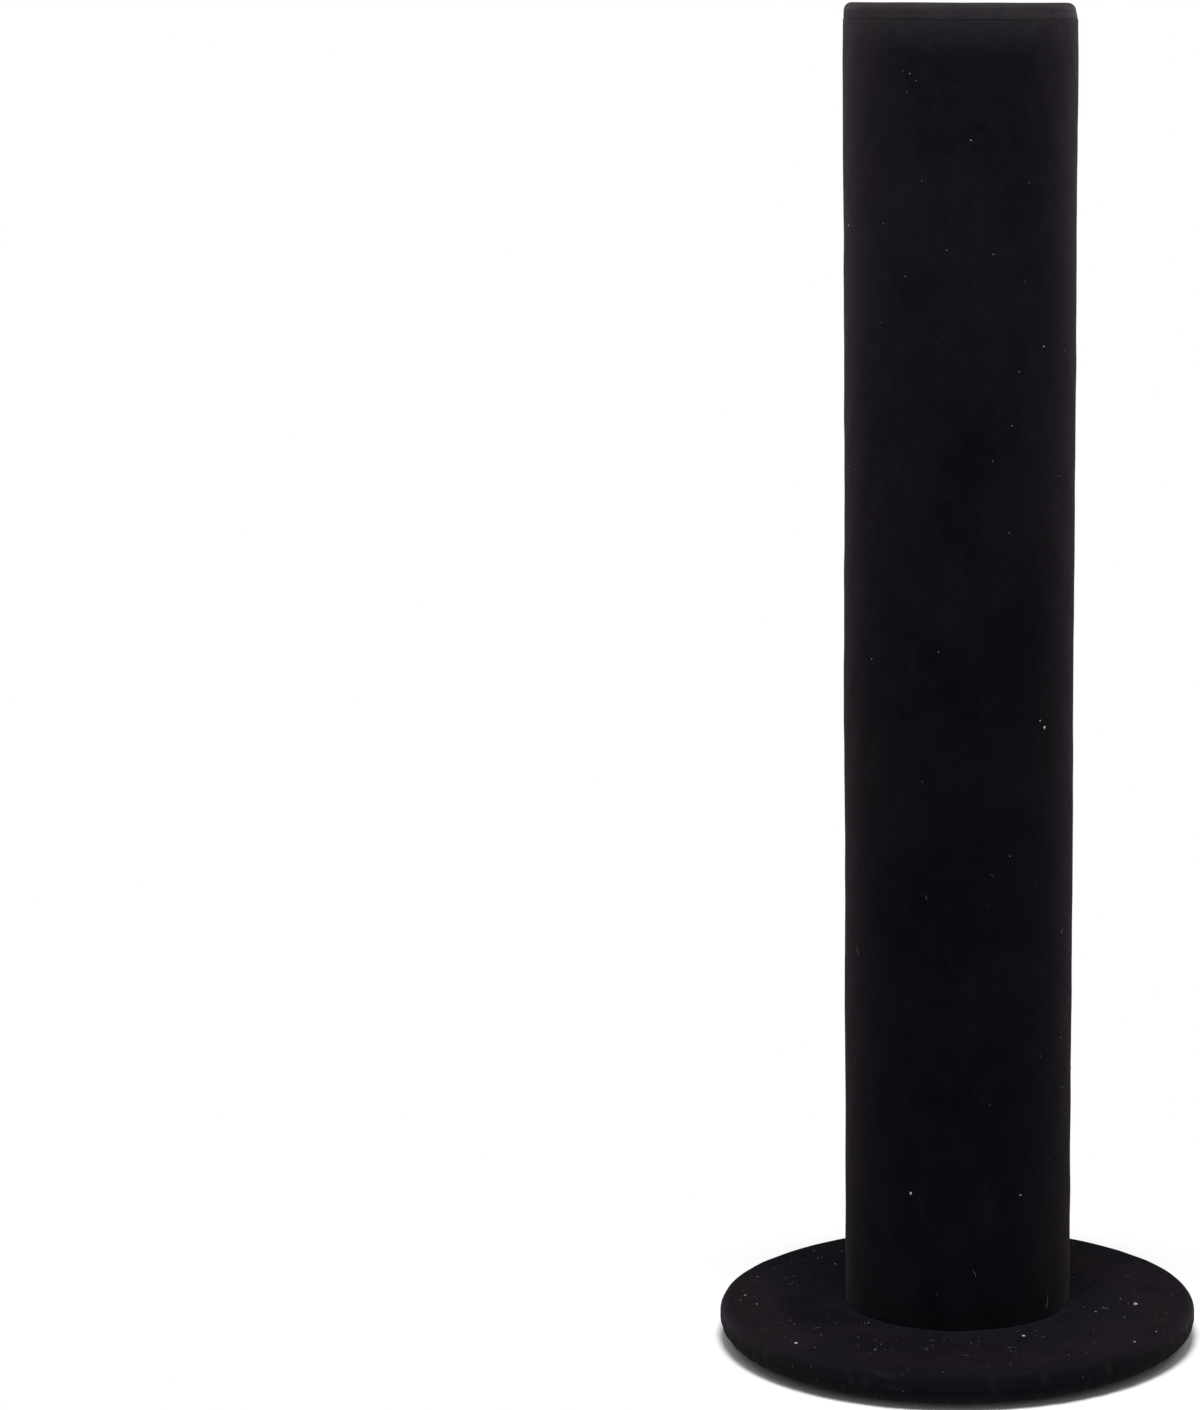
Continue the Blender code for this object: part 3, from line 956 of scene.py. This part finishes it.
def makeBaseCloth(own=baseCloth):
    radius, footRadius = sizeOf("base_velvet")[0], sizeOf("column_velvet")[0]
    shape, backShape = baseProfile(own["tuckedRound"]), baseProfile(own["lowRound"])
    reach, height, out, up = shape[:4]
    outward, upward, onTop = unit(out), unit(up), up > 0.99
    angles, along = notchColumns(own)[:-1], runLength(reach, height)
    fromFoot = reach - footRadius

    shown = unit((fromFoot - own["swellFrom"]) / own["swellReach"]) * unit(1 + up)
    lift = shown * (waves(angles, along, *own["swell"]) + waves(angles, along, *own["fineSwell"]))
    welt = onTop * fadeOut(fromFoot - own["weltPlace"], 1.0, own["weltWidth"])
    lift += own["footWelt"] * welt * (1 + waves(angles, along, *own["weltUneven"]))
    lift -= outward * unit(0.3 - up) * folds(angles, along, *own["pleats"])
    edgeRun = along[np.argmax(reach >= radius - own["topRound"])]
    crushAndLight, down = baseMarks(angles, along - edgeRun, radius)
    lift -= down

    # painted light and shade over the top, with brushed pile among it
    brushAndLight = sum(spread(angles, [(degrees, wide, amount)]) * fadeOut(reach / mm - place, 1.0, deep)
                for degrees, place, wide, deep, amount in own["brushedAndLit"])
    brushAndLight = brushAndLight * upward * (1 + waves(angles, along, *own["brushAndLightUneven"]))
    # a warm tint where the top is painted lighter: the colour of the painted sheen
    warm = unit(brushAndLight)
    # painted bounce light on the side, and painted highlights over the edge and on the welt round the foot
    brushAndLight += outward * (own["sideBounceLight"] + own["edgeHighlight"] * upward) + own["weltHighlight"] * welt
    # painted light on the side, in the crushed pile's tone
    crushAndLight += outward * (own["sideLitPile"] + spread(angles, own["sideLitPatches"]))
    paints = {"crushAndLight": crushAndLight, "brushAndLight": brushAndLight, "warm": warm}

    pile = placeRows(shape, notchedRadii(own, shape, angles), angles, lift)
    under = onTop * unit((own["pressedTo"] - fromFoot) / own["pressedFade"])
    pile[..., 2] += under * pressed(pile)
    back = placeRows(backShape, notchedRadii(own, backShape, angles), angles, -own["thickness"])
    piece = clothPiece("baseCloth", baseVelvet, pile, back, paints)
    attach(piece, "root")
    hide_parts("base_velvet")


makeBaseCloth()
print("base cloth ready")


# non-slip sheet under the base

underlay = {
    "thickness": 1.2 * mm,
    "ringRadius": 47.3 * mm,
    "slope": 2 * mm,
    "holeRadius": 10 * mm,
    "middleTop": 2.6 * mm,
    "edgeDraw": 0.12 * mm,  # of the cut edge
    "sag": 0.05 * mm,
    "sagUneven": (0.5, 41, 14, (2, 12), (0.02, 0.06)),
    "columns": 240,
    "rows": (12, 4, 5, 4, 5, 4, 12, 3),  # in each run, from the hole's upper edge round
}


def makeUnderlay(own=underlay):
    radius = sizeOf("base_underlay")[0]
    thick, ring, hole = own["thickness"], own["ringRadius"], own["holeRadius"]
    slopeEnd, top = ring - own["slope"], own["middleTop"]
    corners = [(hole, top), (slopeEnd, top), (ring, thick), (radius, thick), (radius, 0.0), (ring, 0.0),
               (slopeEnd, top - thick), (hole, top - thick), (hole, top)]
    shape = columnsOf(runRows(corners, own["rows"]))
    reach, height = shape[:2]
    angles, along = evenAngles(own["columns"]), runLength(reach, height)
    middle = np.abs(height - (top - thick)) < tiny
    lift = -own["sag"] * middle * (1 + waves(angles, along, *own["sagUneven"]))
    cut = (reach > radius - tiny) & (height < thick - tiny) & (height > tiny)
    points = placeRows(shape, reach, angles, lift - own["edgeDraw"] * cut)
    piece = applied(meshObject("baseUnderlay", gridMesh(points, loop=True), foamSheet), 30)
    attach(piece, "root")
    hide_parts("base_underlay")


makeUnderlay()
print("underlay ready")


# screw and washer

screwValues = {
    "shankRadius": 3 * mm,
    # radius and distance from the end, in mm
    "tip": ((0.0, 0.0), (1.2, 0.0), (2.0, 0.15), (2.4, 0.5)),
    "headRadius": 6.25 * mm,
    "headRim": 1 * mm,
    "headEdge": 0.15 * mm,
    "dome": 2 * mm,
    "pitch": 1 * mm,
    "neck": (0.2 * mm, 0.3 * mm),  # depth, height
    "neckFoot": 0.1 * mm,
    "threadDepth": 0.55 * mm,
    "threadFlank": 0.42,  # half a groove's share of the pitch
    "threadStart": 3 * mm,  # from the head
    "threadEnd": 0.6 * mm,  # from the screw's end
    "columns": 96,
    "recessWidth": 1.15 * mm,
    "recessReach": 2.9 * mm,
    "recessEnds": (-0.5 * mm, 1.7 * mm),  # heights over the head's lowest point
    "recessSizes": (1.12, 0.45),  # at those ends
    "recessNarrow": 0.2,  # share of that taper in the arms' width
}


def screwRows(low, high, own=screwValues):
    # from the screw's end to the middle of its head, and the thread's ends
    shank, head, edge, dome = own["shankRadius"], own["headRadius"], own["headEdge"], own["dome"]
    headTop = low + dome + own["headRim"]
    threadHigh, threadLow = high - own["threadEnd"], headTop + own["threadStart"]
    rows = [(reach * mm, high - down * mm) for reach, down in own["tip"]]
    rows += [(shank, z) for z in np.arange(threadHigh, threadLow, -own["pitch"] / 8)]
    neckDepth, neckHeight = own["neck"]
    rows += [(shank - neckDepth, headTop + neckHeight), (shank + own["neckFoot"], headTop),
             (head - edge, headTop), (head, headTop - edge), (head, low + dome)]
    rows += [(head * cos(angle), low + dome * (1 - sin(angle))) for angle in np.radians(range(10, 91, 10))]
    return rows, threadHigh, threadLow


def makeClampScrew(own=screwValues):
    low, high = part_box("clamp_screw")
    rows, threadHigh, threadLow = screwRows(low.z, high.z)
    reach, height = columnsOf(rows)
    angles = evenAngles(own["columns"])
    threaded = (height <= threadHigh) & (height > threadLow)
    phase = (height / own["pitch"] + angles / fullTurn) % 1.0
    groove = unit(1 - np.abs(phase - 0.5) / own["threadFlank"])
    runOut = unit((height - threadLow) / own["pitch"])
    radii = reach - own["threadDepth"] * threaded * groove * runOut
    mesh = gridMesh(turned(radii, height, angles))
    weldPole(mesh)
    piece = meshObject("clampScrew", mesh, zincSteel)
    cutter = makeRecessCutter(low.z)
    boolean = piece.modifiers.new("recess", "BOOLEAN")
    boolean.solver = "EXACT"
    boolean.object = cutter
    applied(piece, 30)
    bpy.data.objects.remove(cutter)
    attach(piece, "root")
    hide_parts("clamp_screw")


def makeRecessCutter(low, own=screwValues):
    # a cross that narrows towards its floor
    half, reach = own["recessWidth"] / 2, own["recessReach"]
    outline, arm = [], [(reach, -half), (reach, half), (half, half)]
    for _ in range(4):
        outline += arm
        arm = [(-y, x) for x, y in arm]  # a quarter turn further
    shape = bmesh.new()
    rings = []
    for height, size in zip(own["recessEnds"], own["recessSizes"]):
        narrow = 1 + own["recessNarrow"] * (size - 1)
        rings.append([shape.verts.new((x * size, y * narrow, low + height) if abs(x) > abs(y) else
                                      (x * narrow, y * size, low + height)) for x, y in outline])
        shape.faces.new(rings[-1])
    for index in range(len(outline)):
        shape.faces.new((rings[0][index - 1], rings[0][index], rings[1][index], rings[1][index - 1]))
    return addObject("recessCutter", meshOf(shape))


makeClampScrew()

washerValues = {"holeRadius": 3.5 * mm, "edge": 0.25 * mm, "columns": 120}


def makeWasher(own=washerValues):
    # punched, so its lower edges are less round
    radius, low, high = sizeOf("screw_washer")
    hole, edge = own["holeRadius"], own["edge"]
    less = edge / 2
    rows = [(hole, high - edge), (hole + edge, high), (radius - edge, high), (radius, high - edge),
            (radius, low + less), (radius - less, low), (hole + less, low), (hole, low + less)]
    reach, height = columnsOf(rows)
    mesh = gridMesh(turned(reach, height, evenAngles(own["columns"])), loop=True)
    piece = applied(meshObject("screwWasher", mesh, zincSteel), 30)
    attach(piece, "root")
    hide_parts("screw_washer")


makeWasher()
print("screw and washer ready")


# CAD pieces that stay, with their finishes

keptFinishes = {
    "base_board": fibreboard, "foot_plug": fibreboard, "top_plug": fibreboard,
    "column_tube": woundPaper, "cap_board": greyBoard, "tee_nut": zincSteel,
}

for node, material in keptFinishes.items():
    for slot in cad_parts[node].material_slots:
        slot.material = material


# lint caught on the velvet

lintValues = {
    "seed": 51,
    # degrees to the right, height or radius in mm, size in mm, paleness
    "columnSpots": [
        (47, 169, 0.34, 1), (44, 171, 0.22, 0.8), (33, 46, 0.31, 1), (-24, 47, 0.31, 1),
        (45, 267, 0.2, 0.45), (5, 319, 0.17, 0.2), (-40, 298, 0.17, 0.25), (30, 261, 0.16, 0.2),
        (-10, 190, 0.16, 0.2), (-25, 285, 0.15, 0.15), (120, 210, 0.22, 0.6), (-150, 95, 0.2, 0.5),
        (170, 300, 0.18, 0.3),
    ],
    "baseSpots": [
        (82, 48, 0.52, 1), (27, 38, 0.4, 1), (-46, 58, 0.46, 1), (50, 60, 0.3, 0.7),
        (-25, 50, 0.28, 0.6), (-90, 57, 0.3, 0.6), (35, 58, 0.24, 0.55), (50, 50, 0.24, 0.45),
        (-45, 33, 0.22, 0.4), (70, 39, 0.22, 0.5), (60, 60, 0.24, 0.5), (-82, 54, 0.24, 0.4),
        (150, 52, 0.3, 0.8), (-130, 44, 0.26, 0.7),
    ],
    # how many, heights or radii, sizes, greatest paleness, rarity of pale ones
    "columnSpecks": (50, (16, 345), (0.06, 0.16), 0.6, 3),
    "baseSpecks": (145, (31.5, 60), (0.06, 0.18), 1.0, 2),
    "spin": 6.28,  # radians
    "speckStretch": (0.9, 1.7),
    "speckCrumple": 0.22,
    "speckFlatness": 0.55,
    "fibres": 40,  # short hairs
    "columnFibres": (16, 345),
    "baseFibres": (33, 58),
    "fibreLengths": (1.2, 3.2),  # in mm
    "fibrePaleness": (0.1, 0.6),
    "fibreRadius": 0.03 * mm,
    "fibreEnd": 0.45,  # thinness of its ends
    "fibreBend": (1.4, 0.12),  # radians, in all and at each step
    "fibreRise": (0.02, 0.12),  # of its middle, in mm
    "fibreSteps": 10,
    "fibreSides": 5,
}


def addSpeck(shape, place, normal, size, pale, draw, own=lintValues):
    # a crumpled ball of dust, flattened on the cloth
    ball = bmesh.ops.create_icosphere(shape, subdivisions=2, radius=1.0)["verts"]
    tone = shape.verts.layers.float["pale"]
    turn = normal.to_track_quat("Z", "Y").to_matrix().to_4x4()
    spin = Matrix.Rotation(draw.uniform(0, own["spin"]), 4, "Z")
    stretch = draw.uniform(*own["speckStretch"])
    for corner in ball:
        corner.co *= 1 + draw.uniform(-own["speckCrumple"], own["speckCrumple"])
        corner.co.z *= own["speckFlatness"]
        corner.co.x *= stretch
        corner[tone] = pale
    onCloth = Matrix.Translation(place) @ turn @ spin @ Matrix.Scale(size, 4)
    bmesh.ops.transform(shape, verts=ball, matrix=onCloth)


def addFibre(shape, place, normal, length, pale, draw, own=lintValues):
    # a short bent hair, as a closed tube
    radius, steps, sides = own["fibreRadius"], own["fibreSteps"], own["fibreSides"]
    most, wobble = own["fibreBend"]
    tone = shape.verts.layers.float["pale"]
    side = normal.orthogonal().normalized()
    side.rotate(Matrix.Rotation(draw.uniform(0, own["spin"]), 3, normal))
    other = normal.cross(side)
    bend, rise = draw.uniform(-most, most), draw.uniform(*own["fibreRise"]) * mm
    rings, heading, spot = [], 0.0, Vector(place)
    for step in range(steps + 1):
        forward = side * cos(heading) + other * sin(heading)
        across = normal.cross(forward)
        thin = radius * (own["fibreEnd"] if step in (0, steps) else 1.0)
        center = spot + normal * (radius + rise * sin(pi * step / steps))
        rings.append([shape.verts.new(center + thin * (across * cos(angle) + normal * sin(angle)))
                      for angle in evenAngles(sides)])
        for corner in rings[-1]:
            corner[tone] = pale
        spot = spot + forward * (length / steps)
        heading += bend / steps + draw.uniform(-wobble, wobble)
    for first, second in zip(rings, rings[1:]):
        for k in range(sides):
            shape.faces.new((first[k - 1], first[k], second[k], second[k - 1]))
    shape.faces.new(rings[0][::-1])
    shape.faces.new(rings[-1])


def spotOn(cloth, degrees, place):
    # a point at a height on the column or at a radius on the base, and its normal
    angle = radians(degrees - 90)
    outward = Vector((cos(angle), sin(angle), 0))
    if cloth == "column":
        return outward * sizeOf("column_velvet")[0] + Vector((0, 0, place * mm)), outward
    return outward * place * mm + Vector((0, 0, sizeOf("base_velvet")[2])), Vector((0, 0, 1))


def anySpot(cloth, ends, draw):
    # a random point between two heights or radii
    degrees, power = draw.uniform(0, 360), 1 if cloth == "column" else 2
    return spotOn(cloth, degrees, draw.uniform(ends[0] ** power, ends[1] ** power) ** (1 / power))


def makeLint(own=lintValues):
    draw = random.Random(own["seed"])
    shape = bmesh.new()
    shape.verts.layers.float.new("pale")
    for cloth in ("column", "base"):
        for degrees, place, size, pale in own[cloth + "Spots"]:
            addSpeck(shape, *spotOn(cloth, degrees, place), size * mm, pale, draw)
    for cloth in ("column", "base"):
        count, ends, sizes, palest, rarity = own[cloth + "Specks"]
        for _ in range(count):
            spot = anySpot(cloth, ends, draw)
            addSpeck(shape, *spot, draw.uniform(*sizes) * mm, palest * draw.random() ** rarity, draw)
    for index in range(own["fibres"]):
        cloth = "base" if index % 3 else "column"
        spot = anySpot(cloth, own[cloth + "Fibres"], draw)
        length, pale = draw.uniform(*own["fibreLengths"]) * mm, draw.uniform(*own["fibrePaleness"])
        addFibre(shape, *spot, length, pale, draw)
    addFibre(shape, *spotOn("column", 52, 17), 4 * mm, 0.5, draw)  # a longer one above the foot
    mesh = meshOf(shape)
    mesh.shade_smooth()
    piece = meshObject("lint", mesh, lintFibre)
    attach(piece, "root")


makeLint()
print("lint ready")
